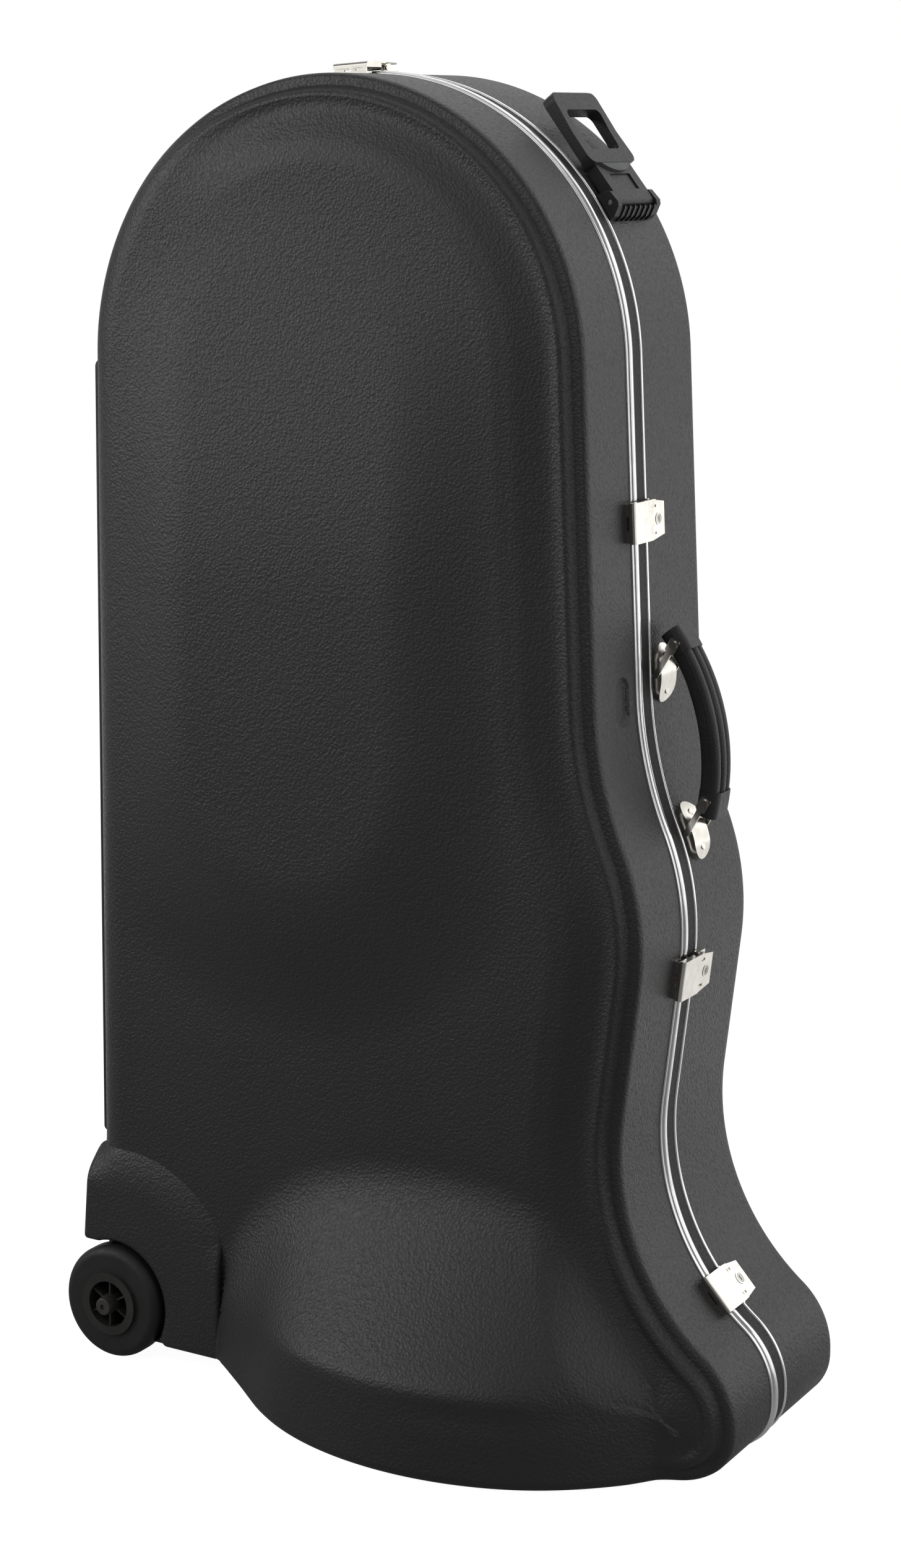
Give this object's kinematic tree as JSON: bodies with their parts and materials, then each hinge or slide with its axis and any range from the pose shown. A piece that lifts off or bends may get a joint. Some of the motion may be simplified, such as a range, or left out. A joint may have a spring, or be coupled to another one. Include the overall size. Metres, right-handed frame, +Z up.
{
  "type": "tuba case",
  "caption": "Upright hard case for a tuba: rounded top, bell bulge at the foot, hinged lid with draw latches, side carry handle, pull handle and wheels.",
  "frame": {"origin": "on the floor under the middle of the whole case", "axes": "+Z up; -Y towards the lid, +Y towards the back shell, parting plane at Y = 0; +X towards the latches and the carry handle, -X towards the hinges"},
  "size_m": [0.6462, 0.41, 1.1456],
  "materials": {
    "shell": "leather-grained ABS, satin",
    "lining": "short black plush over foam",
    "edge_metal": "bright drawn",
    "seal": "matte",
    "runner": "smooth",
    "foot_rubber": "matte",
    "tyre": "matte",
    "hub": "moulded",
    "axle": "turned",
    "axle_cap": "moulded",
    "grip": "satin",
    "pull_handle": "satin moulded",
    "bumper": "frosted",
    "nickel": "nickel plated",
    "lock": "plated"
  },
  "bodies": {
    "base": {"back_shell": "shell", "back_lining": "lining", "seal_band": "seal", "back_trim": "edge_metal", "hinge_back_leaves": "nickel", "hinge_pins": "nickel", "hinge_back_screws": "nickel", "latch_top_base": "nickel", "latch_upper_base": "nickel", "latch_middle_base": "nickel", "latch_lower_base": "nickel", "latch_pins": "nickel", "handle_plate_upper": "nickel", "handle_plate_lower": "nickel", "handle_screws": "nickel", "pull_handle_base": "pull_handle", "pull_handle_pin": "axle", "back_runner": "runner", "back_feet": "foot_rubber", "rear_axle": "axle", "rear_axle_cap": "axle_cap"},
    "lid": {"lid_shell": "shell", "lid_lining": "lining", "lid_trim": "edge_metal", "hinge_lid_leaves": "nickel", "hinge_lid_screws": "nickel", "latch_top_keeper": "nickel", "latch_upper_keeper": "nickel", "latch_middle_keeper": "nickel", "latch_lower_keeper": "nickel", "lid_runner": "runner", "lid_feet": "foot_rubber", "front_axle": "axle", "front_axle_cap": "axle_cap"},
    "front_wheel": {"front_tyre": "tyre", "front_hub": "hub"},
    "rear_wheel": {"rear_tyre": "tyre", "rear_hub": "hub"},
    "link_upper": {"handle_link_upper": "nickel"},
    "link_lower": {"handle_link_lower": "nickel"},
    "grip": {"carry_grip": "grip", "grip_rivets": "nickel"},
    "pull_handle": {"pull_handle_loop": "pull_handle", "pull_handle_bumper": "bumper"},
    "lever_top": {"latch_top_lever": "nickel"},
    "hook_top": {"latch_top_hook": "nickel"},
    "lock_top": {"latch_top_lock": "lock"},
    "lever_upper": {"latch_upper_lever": "nickel"},
    "hook_upper": {"latch_upper_hook": "nickel"},
    "lock_upper": {"latch_upper_lock": "lock"},
    "lever_middle": {"latch_middle_lever": "nickel"},
    "hook_middle": {"latch_middle_hook": "nickel"},
    "lock_middle": {"latch_middle_lock": "lock"},
    "lever_lower": {"latch_lower_lever": "nickel"},
    "hook_lower": {"latch_lower_hook": "nickel"},
    "lock_lower": {"latch_lower_lock": "lock"}
  },
  "joints": [
    {"name": "lid_hinge", "type": "hinge", "parent": "base", "child": "lid", "pos_m": [-0.30744, 0, 0.54], "axis": [0, 0, -1], "range_deg": [0, 110]},
    {"name": "lever_top_lift", "type": "hinge", "parent": "base", "child": "lever_top", "pos_m": [-0.07746, 0.01, 1.13899], "axis": [0.9975, 0, 0.0705], "range_deg": [0, 90]},
    {"name": "hook_top_swing", "type": "hinge", "parent": "lever_top", "child": "hook_top", "pos_m": [-0.07756, 0.0142, 1.14038], "axis": [0.9975, 0, 0.0705], "range_deg": [-90, 0]},
    {"name": "lock_top_turn", "type": "hinge", "parent": "lever_top", "child": "lock_top", "pos_m": [-0.0777, 0.0215, 1.14238], "axis": [-0.0705, 0, 0.9975], "range_deg": [0, 90]},
    {"name": "lever_upper_lift", "type": "hinge", "parent": "base", "child": "lever_upper", "pos_m": [0.19066, 0.01, 0.76819], "axis": [0.041, 0, -0.9992], "range_deg": [0, 90]},
    {"name": "hook_upper_swing", "type": "hinge", "parent": "lever_upper", "child": "hook_upper", "pos_m": [0.19206, 0.0142, 0.76825], "axis": [0.041, 0, -0.9992], "range_deg": [-90, 0]},
    {"name": "lock_upper_turn", "type": "hinge", "parent": "lever_upper", "child": "lock_upper", "pos_m": [0.19406, 0.0215, 0.76833], "axis": [0.9992, 0, 0.041], "range_deg": [0, 90]},
    {"name": "lever_middle_lift", "type": "hinge", "parent": "base", "child": "lever_middle", "pos_m": [0.23723, 0.01, 0.3934], "axis": [-0.1305, 0, -0.9914], "range_deg": [0, 90]},
    {"name": "hook_middle_swing", "type": "hinge", "parent": "lever_middle", "child": "hook_middle", "pos_m": [0.23861, 0.0142, 0.39322], "axis": [-0.1305, 0, -0.9914], "range_deg": [-90, 0]},
    {"name": "lock_middle_turn", "type": "hinge", "parent": "lever_middle", "child": "lock_middle", "pos_m": [0.2406, 0.0215, 0.39296], "axis": [0.9914, 0, -0.1305], "range_deg": [0, 90]},
    {"name": "lever_lower_lift", "type": "hinge", "parent": "base", "child": "lever_lower", "pos_m": [0.27286, 0.01, 0.13161], "axis": [0.6756, 0, -0.7373], "range_deg": [0, 90]},
    {"name": "hook_lower_swing", "type": "hinge", "parent": "lever_lower", "child": "hook_lower", "pos_m": [0.27389, 0.0142, 0.13255], "axis": [0.6756, 0, -0.7373], "range_deg": [-90, 0]},
    {"name": "lock_lower_turn", "type": "hinge", "parent": "lever_lower", "child": "lock_lower", "pos_m": [0.27536, 0.0215, 0.1339], "axis": [0.7373, 0, 0.6756], "range_deg": [0, 90]},
    {"name": "carry_handle_lift", "type": "hinge", "parent": "base", "child": "link_upper", "pos_m": [0.19566, 0.035, 0.63738], "axis": [0, 1, 0], "range_deg": [-12, 95]},
    {"name": "lower_link_swing", "type": "hinge", "parent": "base", "child": "link_lower", "pos_m": [0.22501, 0.035, 0.50746], "axis": [0, 1, 0], "range_deg": [-12, 95]},
    {"name": "grip_swing", "type": "hinge", "parent": "link_upper", "child": "grip", "pos_m": [0.21166, 0.035, 0.66439], "axis": [0, 1, 0], "range_deg": [-95, 12]},
    {"name": "pull_handle_lift", "type": "hinge", "parent": "base", "child": "pull_handle", "pos_m": [0.14887, 0.058, 1.02849], "axis": [0, 1, 0], "range_deg": [0, 95]},
    {"name": "front_wheel_roll", "type": "hinge", "parent": "lid", "child": "front_wheel", "pos_m": [-0.27314, -0.106, 0.05], "axis": [0, 1, 0], "continuous": true},
    {"name": "rear_wheel_roll", "type": "hinge", "parent": "base", "child": "rear_wheel", "pos_m": [-0.27314, 0.106, 0.05], "axis": [0, 1, 0], "continuous": true}
  ],
  "couplings": [
    {"joint": "hook_top_swing", "follows": "lever_top_lift", "ratio": -1},
    {"joint": "hook_upper_swing", "follows": "lever_upper_lift", "ratio": -1},
    {"joint": "hook_middle_swing", "follows": "lever_middle_lift", "ratio": -1},
    {"joint": "hook_lower_swing", "follows": "lever_lower_lift", "ratio": -1},
    {"joint": "lower_link_swing", "follows": "carry_handle_lift", "ratio": 1},
    {"joint": "grip_swing", "follows": "carry_handle_lift", "ratio": -1}
  ]
}
